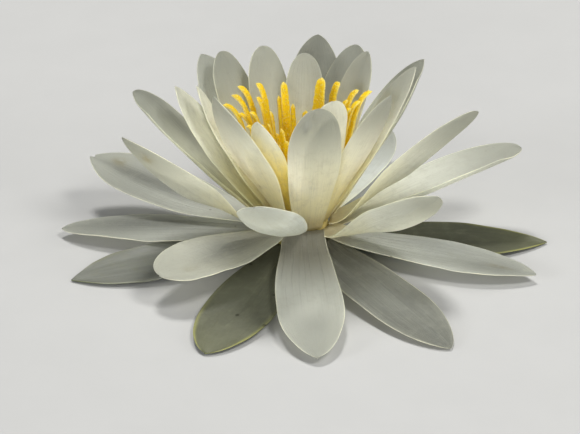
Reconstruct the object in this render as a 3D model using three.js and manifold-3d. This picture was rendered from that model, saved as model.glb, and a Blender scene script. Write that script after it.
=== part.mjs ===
// A white water lily bloom, picked off flush below its receptacle and lying as it floats:
// four sepals and the lowest petals spread flat, the rest rising layer by layer round the stamens.
//
// Millimetres, +Z up. The origin is the middle of the flat scar under the receptacle, which the bloom
// rests on. +X is the bloom's longest way across. Azimuths are degrees from +X towards +Y.
//
// Separate pieces: 4 sepals, 31 petals, the receptacle that holds the ovary, the ring of stamens
// and the stigma.
// Pieces that touch in life keep SEAT_GAP apart here.

import * as THREE from "three";
import { mergeVertices } from "three/addons/utils/BufferGeometryUtils.js";
import Module from "manifold-3d";

const wasm = await Module();
wasm.setup();

// ---------------------------------------------------------------- driving dimensions

const SEAT_GAP = 0.3;

const SCAR_RADIUS = 4.5; // flat spot where the stalk was, z = 0
const SCAR_LIP = 0.4; // rounding above the scar
const FIRST_SEAT_RADIUS = 8.6; // the sepals' seats, the widest place of the receptacle
const FIRST_SEAT_HEIGHT = 3.4;
const TIER_STEP = 1.35; // height from one tier of seats to the next
const TIER_TAPER = 0.45; // radius lost from one tier to the next
const LAST_TIER = 6.5;
const SHOULDER_ABOVE_SEAT = 0.9; // the wall turns in above the last seats
const NECK_RADIUS = 3.9; // ovary neck inside the stamens' collar
const NECK_HEIGHT = 15.6;

const BLADE_THICKNESS = 0.85; // along the midrib
const ROOT_THICKNESS = 0.65;
const EDGE_THICKNESS = 0.6;
const TIP_HALF_WIDTH = 0.4; // no blade ends in a needle point
const BLADE_ROWS = 10;
const BLADE_COLUMNS = 4;
const ROWS_TOWARDS_TIP = 0.65; // share of the row spacing that closes up towards the tip
const CLAW_FLARE = 1.15; // above 1 the claw stays narrow for longer
const END_FULLNESS = 2.3; // how late the blade starts to narrow beyond its widest place
const CUP_AT_ENDS = 0.6; // share of the cup at the root and at the tip
const ROLL_REACHED = 0.5; // share of the length where the roll is complete
const FULL_THICKNESS_REACHED = 0.3;

const COLLAR_INNER = NECK_RADIUS + SEAT_GAP;
const COLLAR_OUTER = 5.3;
const COLLAR_ROUNDING = 0.4;
const STAMEN_THICKNESS = 0.8; // along its middle
const STAMEN_EDGE = 0.6;
const STAMEN_ROOT_RADIUS = 4.75; // middle of the collar's wall
const STAMEN_ROOT_DEPTH = 1; // how far below the collar's top it starts
const STAMEN_SPLAY_OUT = 0.7; // the curve's first handle, as shares of the reach and of the height
const STAMEN_SPLAY_UP = 0.3;
const STAMEN_HOOK_OUT = 0.55; // its second handle, which bends the tip outwards
const STAMEN_HOOK_UP = 1;
const STAMEN_STRAIGHT_UP = 0.8; // the same for a stamen near the middle, whose tip stays straighter
const STAMEN_STRAIGHT_REACH = 8; // reach up to which it is straight, and from which it is hooked
const STAMEN_HOOKED_REACH = 14;
const STAMEN_FOOT_WIDTH = 1.15; // share of the width at the foot
const STAMEN_TIP_WIDTH = 0.7; // share of the width left at the tip, before it rounds off
const STAMEN_ROUNDING_FROM = 0.88;
const STAMEN_BLUNTNESS = 0.72;
const FILLER_TURN = 3; // degrees that one filler stands off its even place
const FILLER_RISE = 1.5; // and how much taller or shorter it is
const STAMEN_ROWS = 7;
const STAMEN_COLUMNS = 2;

const STIGMA_RADIUS = 3.7;
const STIGMA_THICKNESS = 1.1;
const STIGMA_RAYS = 16;
const STIGMA_RINGS = [0, 0.14, 0.28, 0.5, 0.72, 0.9, 1]; // shares of the radius
const STIGMA_LIFT = [1.1, 0.9, 0.1, 0, 0.5, 1.5, 1.6]; // height of each ring above the bowl
const STIGMA_GROOVE = 0.25; // between rays
const STIGMA_SCALLOP = 0.07; // share of the radius cut back between rays at the rim
const ROUND_SEGMENTS = 48;

// ---------------------------------------------------------------- the blades
//
// tier: 0 at the sepals' seats, growing inwards and upwards to LAST_TIER. azimuth: of the seat.
// rise: mean slope above the horizontal. curl: slope gained from root to tip.
// claw: width at the root. widest: share of the length at the widest place.
// point: 0.5 ends round, 1 ends in a point. cup: half the angle that the cross-section bends through.
// roll: turn about the midrib, reached at mid-length; above 0 it lifts the edge towards growing azimuth.

const BLADES = [
  // name, tier, azimuth, rise, curl, length, width, claw, widest, point, cup, roll
  ["sepal_1", 0, 1, -3, 4, 56.5, 18, 9, 0.55, 0.9, 10, 0],
  ["sepal_2", 0, -113, -3, 4, 54.5, 19.5, 7.4, 0.54, 0.65, 10, 0],
  ["sepal_3", 0, -162, -3, 4, 54.8, 18, 7.4, 0.55, 0.9, 10, 0],
  ["sepal_4", 0, 85, -3, 4, 51, 18, 9, 0.58, 0.8, 10, 0],

  ["petal_1", 1.9, -88, -4.6, 3, 55, 18, 9, 0.6, 0.65, 20, 0],
  ["petal_2", 0.4, -56, -3.4, 3, 58.5, 18, 8.2, 0.52, 0.7, 16, 0],
  ["petal_3", 1.05, -18, -2.6, 3, 56, 15, 6, 0.58, 0.8, 18, 0],
  ["petal_4", 0.75, 175, -2.2, 3, 56, 15, 6.4, 0.58, 0.7, 14, 0],
  ["petal_5", 1.47, 154.9, 8, 21, 56, 17.1, 5, 0.67, 0.84, 28.4, -13],
  ["petal_6", 1.55, 15, 16.8, 4, 55, 16, 4.6, 0.58, 0.5, 44, 0],
  ["petal_7", 1.1, 66, 4, 4, 50, 16, 7, 0.58, 0.6, 12, 0],
  ["petal_8", 2.1, 90, 5, 4, 46, 15, 7, 0.58, 0.6, 14, 0],
  ["petal_9", 0.8, 112, 3, 4, 46, 15, 7, 0.58, 0.6, 10, 0],

  ["petal_10", 2.6, -138, 3.6, 6, 42, 18.5, 5.2, 0.62, 0.5, 18, -4],
  ["petal_11", 3.4, -109.2, 37, 38, 38, 18.4, 5.8, 0.46, 0.65, 50, 12],
  ["petal_12", 1.8, -35, 32, 28, 41.5, 15, 5.4, 0.58, 0.7, 28, -42],
  ["petal_13", 1.5, 187.4, 37.8, 21.8, 49.7, 13.9, 4.6, 0.46, 0.95, 14.3, 46],

  ["petal_14", 2.05, 168.3, 43.4, 10.5, 51.6, 14, 4.4, 0.7, 0.58, 34, -5],
  ["petal_15", 2.4, -1, 42, 6, 51, 11.5, 5, 0.6, 0.45, 28, -48],
  ["petal_16", 3, 31, 52, 6, 49, 14.5, 6, 0.58, 0.7, 42, 0],

  ["petal_17", 2.9, 168, 54.3, 10, 45.3, 13.5, 4.6, 0.56, 0.8, 8, -4],
  ["petal_18", 3.6, 143, 56, 6, 47, 17, 4.2, 0.64, 0.7, 10.5, 0],
  ["petal_19", 4, 82, 59, 14, 46, 14.5, 5, 0.64, 0.65, 12, 0],
  ["petal_20", 5.8, 47, 66, 14, 42.5, 10.5, 4.2, 0.64, 0.6, 30, 0],
  ["petal_21", 4.1, 22, 57, 8, 46, 13, 5, 0.58, 0.8, 28, 0],

  ["petal_22", 4.15, 171.5, 60.5, 14, 42.2, 9.2, 2.6, 0.6, 0.8, 6, 0],
  ["petal_23", 5, 141.5, 61, 15, 44.5, 14, 3.2, 0.66, 0.5, 16, 0],
  ["petal_24", 5.8, 116.6, 66, 22, 42, 11.8, 3.8, 0.64, 0.5, 12, 0],
  ["petal_25", 5, 62, 59, 14, 43.8, 13.5, 5, 0.64, 0.55, 16, 0],
  ["petal_26", 4.8, -20, 66, 4, 43, 13, 5, 0.52, 0.75, 35, -26],
  ["petal_27", 5.65, -149, 63.5, 8, 45.3, 17.4, 8.6, 0.42, 0.95, 16, 12.5],

  ["petal_28", 6.5, 88, 68, 16, 38.2, 11, 4.2, 0.64, 0.5, 24, 0],
  ["petal_29", 6, -60, 77, 6, 39.3, 13.5, 5.5, 0.64, 0.5, 22, 0],
  ["petal_30", 4.4, -77, 75, 12, 41.9, 14.5, 6.5, 0.64, 0.5, 14, 0],
  ["petal_31", 6.5, -132, 70.6, 8, 33.4, 11.5, 4.5, 0.6, 0.75, 28, 0],
];

// ---------------------------------------------------------------- the stamens
//
// All rise from the collar and arch outwards. reach: tip's distance from the bloom's axis.

const STAMENS = [
  // azimuth, reach, tip height, width
  [185, 21, 43, 1.9],
  [168, 19, 43, 2],
  [157, 18.5, 44, 2.2],
  [150, 14, 45, 2.1],
  [158, 13, 42, 1.7],
  [129, 10, 41, 1.7],
  [122, 9.5, 45, 2.4],
  [175, 8.5, 40, 1.5],
  [184, 17, 40, 1.9],
  [-171, 14, 41, 1.9],
  [-156, 16, 39, 1.8],
  [-162, 9.5, 38, 1.7],
  [-151, 12.5, 39, 1.8],
  [-134, 8, 38, 1.7],
  [105, 9.5, 38, 1.4],
  [58, 10, 46, 3.2],
  [45, 14, 44, 2.3],
  [25, 16.5, 43, 2.1],
  [19, 19.5, 43, 2],
  [8, 15.5, 42, 2],
  [0, 13, 41, 1.7],
  [14, 12.5, 42, 1.5],
];
// The rest of the stamens, ring by ring between those above: shorter, so that they stand lower.
const FILLERS = [
  // how many, first azimuth, reach, tip height, width
  [9, -118, 10, 34.5, 2],
  [13, 12, 8, 33, 1.6],
  [12, 20, 6.2, 29, 1.3],
];

// ---------------------------------------------------------------- helpers

const radians = THREE.MathUtils.degToRad;
const mix = THREE.MathUtils.lerp;
const smooth = THREE.MathUtils.smoothstep;

// Radius and height of a tier of seats on the receptacle's wall.
function seatOf(tier) {
  return {
    radius: FIRST_SEAT_RADIUS - tier * TIER_TAPER,
    height: FIRST_SEAT_HEIGHT + tier * TIER_STEP,
  };
}

// Half-width of a blade at share s of its length: a claw, the widest place, then a round or pointed end.
function halfWidth(s, { width, claw, point, widest }) {
  if (s < widest) {
    return mix(claw / 2, width / 2, Math.sin((Math.PI / 2) * (s / widest)) ** CLAW_FLARE);
  }
  const t = (s - widest) / (1 - widest);
  return Math.max(TIP_HALF_WIDTH, (width / 2) * (1 - t ** END_FULLNESS) ** point);
}

// A closed thin solid over a grid: surface(s, v) gives { at, normal, thickness },
// s from 0 to 1 and v from -1 to 1. Both faces are split into triangles alike.
function sheetSolid(surface, rows, columns) {
  const positions = [];
  for (const side of [0.5, -0.5]) {
    for (let i = 0; i <= rows; i++) {
      const x = i / rows;
      const s = mix(x, Math.sin((Math.PI / 2) * x), ROWS_TOWARDS_TIP);
      for (let j = 0; j <= columns; j++) {
        const { at, normal, thickness } = surface(s, (2 * j) / columns - 1);
        const p = at.clone().addScaledVector(normal, side * thickness);
        positions.push(p.x, p.y, p.z);
      }
    }
  }
  const half = (rows + 1) * (columns + 1);
  const upper = (i, j) => i * (columns + 1) + j;
  const lower = (i, j) => half + upper(i, j);
  const index = [];
  const quad = (a, b, c, d) => index.push(a, b, c, a, c, d);
  for (let i = 0; i < rows; i++) {
    for (let j = 0; j < columns; j++) {
      quad(upper(i, j), upper(i + 1, j), upper(i + 1, j + 1), upper(i, j + 1));
      index.push(lower(i, j), lower(i + 1, j + 1), lower(i + 1, j));
      index.push(lower(i, j), lower(i, j + 1), lower(i + 1, j + 1));
    }
    quad(upper(i, 0), lower(i, 0), lower(i + 1, 0), upper(i + 1, 0));
    quad(lower(i, columns), upper(i, columns), upper(i + 1, columns), lower(i + 1, columns));
  }
  for (let j = 0; j < columns; j++) {
    quad(lower(0, j), upper(0, j), upper(0, j + 1), lower(0, j + 1));
    quad(upper(rows, j), lower(rows, j), lower(rows, j + 1), upper(rows, j + 1));
  }
  const geometry = new THREE.BufferGeometry();
  geometry.setAttribute("position", new THREE.Float32BufferAttribute(positions, 3));
  geometry.setIndex(index);
  return geometry;
}

// The midrib at share s of the length, as distance from the axis and height:
// a circular arc, or a line where curl is 0.
function midrib({ radius, height, rise, curl, length }, s) {
  const first = radians(rise - curl / 2);
  const slope = first + radians(curl) * s;
  if (curl === 0) {
    const along = length * s;
    return { slope, reach: radius + along * Math.cos(first), z: height + along * Math.sin(first) };
  }
  const arcRadius = length / radians(curl);
  return {
    slope,
    reach: radius + arcRadius * (Math.sin(slope) - Math.sin(first)),
    z: height + arcRadius * (Math.cos(first) - Math.cos(slope)),
  };
}

// The surface of a blade, cupped round its midrib.
function bladeSurface(blade) {
  const out = new THREE.Vector3(Math.cos(radians(blade.azimuth)), Math.sin(radians(blade.azimuth)), 0);
  const across = new THREE.Vector3(-out.y, out.x, 0);
  return (s, v) => {
    const { slope, reach, z } = midrib(blade, s);
    const inward = out.clone().multiplyScalar(-Math.sin(slope)).setZ(Math.cos(slope));
    const turn = radians(blade.roll) * smooth(s, 0, ROLL_REACHED);
    const side = across.clone().multiplyScalar(Math.cos(turn)).addScaledVector(inward, Math.sin(turn));
    const face = inward.clone().multiplyScalar(Math.cos(turn)).addScaledVector(across, -Math.sin(turn));
    const bend = radians(blade.cup) * mix(CUP_AT_ENDS, 1, Math.sin(Math.PI * s));
    const arc = halfWidth(s, blade) / bend;
    const at = out
      .clone()
      .multiplyScalar(reach)
      .setZ(z)
      .addScaledVector(side, arc * Math.sin(bend * v))
      .addScaledVector(face, arc * (1 - Math.cos(bend * v)));
    const normal = face
      .clone()
      .multiplyScalar(Math.cos(bend * v))
      .addScaledVector(side, -Math.sin(bend * v));
    const full = smooth(s, 0, FULL_THICKNESS_REACHED);
    const rib = mix(ROOT_THICKNESS, BLADE_THICKNESS, full);
    return { at, normal, thickness: mix(rib, EDGE_THICKNESS, v * v) };
  };
}

function blade([, tier, azimuth, rise, curl, length, width, claw, widest, point, cup, roll]) {
  const seat = seatOf(tier);
  const surface = bladeSurface({
    radius: seat.radius + SEAT_GAP + ROOT_THICKNESS / 2,
    height: seat.height,
    azimuth, rise, curl, length, width, claw, widest, point, cup, roll,
  });
  return sheetSolid(surface, BLADE_ROWS, BLADE_COLUMNS);
}

// A flat strap that leans out from the collar, rises, and bends outwards to a blunt tip.
function stamen(azimuth, reach, tipHeight, width) {
  const root = new THREE.Vector2(STAMEN_ROOT_RADIUS, NECK_HEIGHT - STAMEN_ROOT_DEPTH);
  const tip = new THREE.Vector2(reach, tipHeight);
  const hooked = smooth(reach, STAMEN_STRAIGHT_REACH, STAMEN_HOOKED_REACH);
  const handle = (shareOut, shareUp) =>
    new THREE.Vector2(mix(root.x, tip.x, shareOut), mix(root.y, tip.y, shareUp));
  const splay = handle(STAMEN_SPLAY_OUT, STAMEN_SPLAY_UP);
  const hook = handle(STAMEN_HOOK_OUT, mix(STAMEN_STRAIGHT_UP, STAMEN_HOOK_UP, hooked));
  const out = new THREE.Vector3(Math.cos(radians(azimuth)), Math.sin(radians(azimuth)), 0);
  const across = new THREE.Vector3(-out.y, out.x, 0);
  const curve = new THREE.CubicBezierCurve(root, splay, hook, tip);
  const surface = (s, v) => {
    const p = curve.getPoint(s);
    const along = curve.getTangent(s);
    const rounding = Math.sqrt(1 - STAMEN_BLUNTNESS * smooth(s, STAMEN_ROUNDING_FROM, 1));
    const taper = mix(STAMEN_FOOT_WIDTH, STAMEN_TIP_WIDTH, s) * rounding;
    const at = out
      .clone()
      .multiplyScalar(p.x)
      .addScaledVector(across, (v * width * taper) / 2)
      .setZ(p.y);
    const normal = out.clone().multiplyScalar(-along.y).setZ(along.x);
    return { at, normal, thickness: mix(STAMEN_THICKNESS, STAMEN_EDGE, v * v) };
  };
  return sheetSolid(surface, STAMEN_ROWS, STAMEN_COLUMNS);
}

function solidOf(geometry) {
  return new wasm.Manifold(
    new wasm.Mesh({
      numProp: 3,
      vertProperties: new Float32Array(geometry.getAttribute("position").array),
      triVerts: new Uint32Array(geometry.index.array),
    }),
  );
}

function geometryOf(solid) {
  const mesh = solid.getMesh();
  const geometry = new THREE.BufferGeometry();
  geometry.setAttribute("position", new THREE.Float32BufferAttribute(mesh.vertProperties, 3));
  geometry.setIndex(Array.from(mesh.triVerts));
  return geometry;
}

// A body turned round the Z axis from [radius, height] points, walked from the bottom outwards and up.
function turned(outline) {
  const points = outline.map(([radius, height]) => new THREE.Vector2(radius, height));
  const lathe = new THREE.LatheGeometry(points, ROUND_SEGMENTS).rotateX(Math.PI / 2);
  lathe.deleteAttribute("normal");
  lathe.deleteAttribute("uv");
  return mergeVertices(lathe);
}

// The scar, the bulge under the sepals, the wall that carries the seats, its shoulder and the ovary's neck.
function receptacle() {
  const last = seatOf(LAST_TIER);
  const shoulder = last.height + SHOULDER_ABOVE_SEAT;
  return turned([
    [0, 0],
    [SCAR_RADIUS, 0],
    [SCAR_RADIUS + SCAR_LIP, SCAR_LIP],
    [FIRST_SEAT_RADIUS - 1, FIRST_SEAT_HEIGHT - 1.6],
    [FIRST_SEAT_RADIUS, FIRST_SEAT_HEIGHT - 0.5],
    [FIRST_SEAT_RADIUS, FIRST_SEAT_HEIGHT],
    [last.radius, last.height],
    [last.radius - 0.35, shoulder - 0.25],
    [last.radius - 0.9, shoulder],
    [NECK_RADIUS, shoulder],
    [NECK_RADIUS, NECK_HEIGHT],
    [0, NECK_HEIGHT],
  ]);
}

// The collar round the neck and every stamen that grows from it, as one body.
function stamenRing() {
  const foot = seatOf(LAST_TIER).height + SHOULDER_ABOVE_SEAT + SEAT_GAP;
  const collar = turned([
    [COLLAR_INNER, foot],
    [COLLAR_OUTER - COLLAR_ROUNDING, foot],
    [COLLAR_OUTER, foot + COLLAR_ROUNDING],
    [COLLAR_OUTER, NECK_HEIGHT - COLLAR_ROUNDING],
    [COLLAR_OUTER - COLLAR_ROUNDING, NECK_HEIGHT],
    [COLLAR_INNER, NECK_HEIGHT],
    [COLLAR_INNER, foot],
  ]);
  const solids = [solidOf(collar)];
  for (const [azimuth, reach, tipHeight, width] of STAMENS) {
    solids.push(solidOf(stamen(azimuth, reach, tipHeight, width)));
  }
  for (const [count, first, reach, tipHeight, width] of FILLERS) {
    for (let i = 0; i < count; i++) {
      const uneven = Math.sin(i * 2.4 + first);
      const azimuth = first + (360 * i) / count + FILLER_TURN * uneven;
      solids.push(solidOf(stamen(azimuth, reach, tipHeight + FILLER_RISE * uneven, width)));
    }
  }
  return wasm.Manifold.union(solids);
}

// A shallow rayed bowl with a knob in the middle and a scalloped rim that stands up.
function stigma() {
  const rim = STIGMA_RINGS.length - 1;
  const sectors = STIGMA_RAYS * 2;
  const floor = NECK_HEIGHT + SEAT_GAP;
  const positions = [];
  const index = [];
  for (const top of [true, false]) {
    positions.push(0, 0, top ? floor + STIGMA_THICKNESS + STIGMA_LIFT[0] : floor);
    for (let k = 1; k <= rim; k++) {
      for (let j = 0; j < sectors; j++) {
        const angle = (Math.PI * 2 * j) / sectors;
        const between = j % 2;
        const scallop = k === rim ? STIGMA_SCALLOP * between : 0;
        const groove = k > 1 ? STIGMA_GROOVE * between : 0;
        const r = STIGMA_RADIUS * STIGMA_RINGS[k] * (1 - scallop);
        const z = top ? floor + STIGMA_THICKNESS + STIGMA_LIFT[k] - groove : floor;
        positions.push(r * Math.cos(angle), r * Math.sin(angle), z);
      }
    }
  }
  const half = positions.length / 6;
  const at = (side, k, j) => side * half + (k === 0 ? 0 : 1 + (k - 1) * sectors + (j % sectors));
  for (let j = 0; j < sectors; j++) {
    index.push(at(0, 0, 0), at(0, 1, j), at(0, 1, j + 1));
    index.push(at(1, 0, 0), at(1, 1, j + 1), at(1, 1, j));
    for (let k = 1; k < rim; k++) {
      index.push(at(0, k, j), at(0, k + 1, j), at(0, k + 1, j + 1));
      index.push(at(0, k, j), at(0, k + 1, j + 1), at(0, k, j + 1));
      index.push(at(1, k, j), at(1, k + 1, j + 1), at(1, k + 1, j));
      index.push(at(1, k, j), at(1, k, j + 1), at(1, k + 1, j + 1));
    }
    index.push(at(0, rim, j), at(1, rim, j), at(1, rim, j + 1));
    index.push(at(0, rim, j), at(1, rim, j + 1), at(0, rim, j + 1));
  }
  const geometry = new THREE.BufferGeometry();
  geometry.setAttribute("position", new THREE.Float32BufferAttribute(positions, 3));
  geometry.setIndex(index);
  return geometry;
}

// ---------------------------------------------------------------- assembly

const bloom = new THREE.Group();

function add(name, geometry, color, roughness) {
  geometry.computeVertexNormals();
  const mesh = new THREE.Mesh(geometry, new THREE.MeshStandardMaterial({ color, roughness, metalness: 0 }));
  mesh.name = name;
  bloom.add(mesh);
}

const WHITE = 0xe9e7da;
const OLIVE = 0xb9bd9a;
const GREEN_YELLOW = 0xc9c48a;
const YELLOW = 0xe8b80c;
const DEEP_YELLOW = 0xe2b11a;

for (const row of BLADES) {
  const [name, tier] = row;
  add(name, blade(row), tier === 0 ? OLIVE : WHITE, 0.5);
}
add("receptacle", receptacle(), GREEN_YELLOW, 0.6);
add("stamens", geometryOf(stamenRing()), YELLOW, 0.7);
add("stigma_disc", stigma(), DEEP_YELLOW, 0.6);

export default bloom;
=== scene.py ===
"""A white water lily bloom, picked off flush and resting level on a pale floor.

Every solid of the frame is replaced by a finer piece of the same form: blades with thin rims, creases,
ripples and veins, ridged stamens, a rayed stigma and a fleshy receptacle. Shapes are worked out in
millimetres and stored in metres.
"""

import math

import bpy
import numpy as np
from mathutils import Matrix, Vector


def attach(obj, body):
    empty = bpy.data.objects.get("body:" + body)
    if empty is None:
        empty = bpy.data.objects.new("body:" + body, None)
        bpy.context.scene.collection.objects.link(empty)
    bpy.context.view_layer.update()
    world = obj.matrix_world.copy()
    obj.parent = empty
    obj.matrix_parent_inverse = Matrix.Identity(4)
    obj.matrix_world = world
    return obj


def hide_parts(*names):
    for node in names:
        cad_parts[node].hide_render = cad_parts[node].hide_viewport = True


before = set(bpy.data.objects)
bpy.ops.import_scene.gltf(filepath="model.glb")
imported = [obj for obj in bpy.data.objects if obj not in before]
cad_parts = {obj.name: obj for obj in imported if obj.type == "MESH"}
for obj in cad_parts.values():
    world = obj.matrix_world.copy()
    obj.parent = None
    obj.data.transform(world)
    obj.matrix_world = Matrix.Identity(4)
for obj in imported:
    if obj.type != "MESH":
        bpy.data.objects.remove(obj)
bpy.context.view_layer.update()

MM = 0.001

# ---------------------------------------------------------------- the bloom's build, as in its solids

SEAT_GAP = 0.3
SCAR_RADIUS = 4.5
SCAR_LIP = 0.4
FIRST_SEAT_RADIUS = 8.6
FIRST_SEAT_HEIGHT = 3.4
TIER_STEP = 1.35
TIER_TAPER = 0.45
LAST_TIER = 6.5
SHOULDER_ABOVE_SEAT = 0.9
NECK_RADIUS = 3.9
NECK_HEIGHT = 15.6
ROOT_THICKNESS = 0.65
CLAW_FLARE = 1.15
END_FULLNESS = 2.3
CUP_AT_ENDS = 0.6
ROLL_REACHED = 0.5
COLLAR_OUTER = 5.3
COLLAR_ROUNDING = 0.4
STAMEN_ROOT_RADIUS = 4.75
STAMEN_ROOT_DEPTH = 1
STAMEN_SPLAY_OUT = 0.7
STAMEN_SPLAY_UP = 0.3
STAMEN_HOOK_OUT = 0.55
STAMEN_HOOK_UP = 1
STAMEN_STRAIGHT_UP = 0.8
STAMEN_STRAIGHT_REACH = 8
STAMEN_HOOKED_REACH = 14
STAMEN_FOOT_WIDTH = 1.15
FILLER_TURN = 3
FILLER_RISE = 1.5
STIGMA_RADIUS = 3.7
STIGMA_THICKNESS = 1.1
STIGMA_RAYS = 16
STIGMA_RINGS = [0, 0.14, 0.28, 0.5, 0.72, 0.9, 1]
STIGMA_LIFT = [1.1, 0.9, 0.1, 0, 0.5, 1.5, 1.6]
STIGMA_GROOVE = 0.25
STIGMA_SCALLOP = 0.07

# Angles are in degrees, claw is the width at the root, widest a share of the length, and the other sizes
# are in millimetres.
BLADES = {
    # tier, azimuth, rise, curl, length, width, claw, widest, point, cup, roll
    "sepal_1": (0, 1, -3, 4, 56.5, 18, 9, 0.55, 0.9, 10, 0),
    "sepal_2": (0, -113, -3, 4, 54.5, 19.5, 7.4, 0.54, 0.65, 10, 0),
    "sepal_3": (0, -162, -3, 4, 54.8, 18, 7.4, 0.55, 0.9, 10, 0),
    "sepal_4": (0, 85, -3, 4, 51, 18, 9, 0.58, 0.8, 10, 0),
    "petal_1": (1.9, -88, -4.6, 3, 55, 18, 9, 0.6, 0.65, 20, 0),
    "petal_2": (0.4, -56, -3.4, 3, 58.5, 18, 8.2, 0.52, 0.7, 16, 0),
    "petal_3": (1.05, -18, -2.6, 3, 56, 15, 6, 0.58, 0.8, 18, 0),
    "petal_4": (0.75, 175, -2.2, 3, 56, 15, 6.4, 0.58, 0.7, 14, 0),
    "petal_5": (1.47, 154.9, 8, 21, 56, 17.1, 5, 0.67, 0.84, 28.4, -13),
    "petal_6": (1.55, 15, 16.8, 4, 55, 16, 4.6, 0.58, 0.5, 44, 0),
    "petal_7": (1.1, 66, 4, 4, 50, 16, 7, 0.58, 0.6, 12, 0),
    "petal_8": (2.1, 90, 5, 4, 46, 15, 7, 0.58, 0.6, 14, 0),
    "petal_9": (0.8, 112, 3, 4, 46, 15, 7, 0.58, 0.6, 10, 0),
    "petal_10": (2.6, -138, 3.6, 6, 42, 18.5, 5.2, 0.62, 0.5, 18, -4),
    "petal_11": (3.4, -109.2, 37, 38, 38, 18.4, 5.8, 0.46, 0.65, 50, 12),
    "petal_12": (1.8, -35, 32, 28, 41.5, 15, 5.4, 0.58, 0.7, 28, -42),
    "petal_13": (1.5, 187.4, 37.8, 21.8, 49.7, 13.9, 4.6, 0.46, 0.95, 14.3, 46),
    "petal_14": (2.05, 168.3, 43.4, 10.5, 51.6, 14, 4.4, 0.7, 0.58, 34, -5),
    "petal_15": (2.4, -1, 42, 6, 51, 11.5, 5, 0.6, 0.45, 28, -48),
    "petal_16": (3, 31, 52, 6, 49, 14.5, 6, 0.58, 0.7, 42, 0),
    "petal_17": (2.9, 168, 54.3, 10, 45.3, 13.5, 4.6, 0.56, 0.8, 8, -4),
    "petal_18": (3.6, 143, 56, 6, 47, 17, 4.2, 0.64, 0.7, 10.5, 0),
    "petal_19": (4, 82, 59, 14, 46, 14.5, 5, 0.64, 0.65, 12, 0),
    "petal_20": (5.8, 47, 66, 14, 42.5, 10.5, 4.2, 0.64, 0.6, 30, 0),
    "petal_21": (4.1, 22, 57, 8, 46, 13, 5, 0.58, 0.8, 28, 0),
    "petal_22": (4.15, 171.5, 60.5, 14, 42.2, 9.2, 2.6, 0.6, 0.8, 6, 0),
    "petal_23": (5, 141.5, 61, 15, 44.5, 14, 3.2, 0.66, 0.5, 16, 0),
    "petal_24": (5.8, 116.6, 66, 22, 42, 11.8, 3.8, 0.64, 0.5, 12, 0),
    "petal_25": (5, 62, 59, 14, 43.8, 13.5, 5, 0.64, 0.55, 16, 0),
    "petal_26": (4.8, -20, 66, 4, 43, 13, 5, 0.52, 0.75, 35, -26),
    "petal_27": (5.65, -149, 63.5, 8, 45.3, 17.4, 8.6, 0.42, 0.95, 16, 12.5),
    "petal_28": (6.5, 88, 68, 16, 38.2, 11, 4.2, 0.64, 0.5, 24, 0),
    "petal_29": (6, -60, 77, 6, 39.3, 13.5, 5.5, 0.64, 0.5, 22, 0),
    "petal_30": (4.4, -77, 75, 12, 41.9, 14.5, 6.5, 0.64, 0.5, 14, 0),
    "petal_31": (6.5, -132, 70.6, 8, 33.4, 11.5, 4.5, 0.6, 0.75, 28, 0),
}

STAMENS = [
    # azimuth, reach, tip height, width
    (185, 21, 43, 1.9),
    (168, 19, 43, 2),
    (157, 18.5, 44, 2.2),
    (150, 14, 45, 2.1),
    (158, 13, 42, 1.7),
    (129, 10, 41, 1.7),
    (122, 9.5, 45, 2.4),
    (175, 8.5, 40, 1.5),
    (184, 17, 40, 1.9),
    (-171, 14, 41, 1.9),
    (-156, 16, 39, 1.8),
    (-162, 9.5, 38, 1.7),
    (-151, 12.5, 39, 1.8),
    (-134, 8, 38, 1.7),
    (105, 9.5, 38, 1.4),
    (58, 10, 46, 3.2),
    (45, 14, 44, 2.3),
    (25, 16.5, 43, 2.1),
    (19, 19.5, 43, 2),
    (8, 15.5, 42, 2),
    (0, 13, 41, 1.7),
    (14, 12.5, 42, 1.5),
]

FILLERS = [
    # how many, first azimuth, reach, tip height, width
    (9, -118, 10, 34.5, 2),
    (13, 12, 8, 33, 1.6),
    (12, 20, 6.2, 29, 1.3),
]

# ---------------------------------------------------------------- how the blades differ

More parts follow.
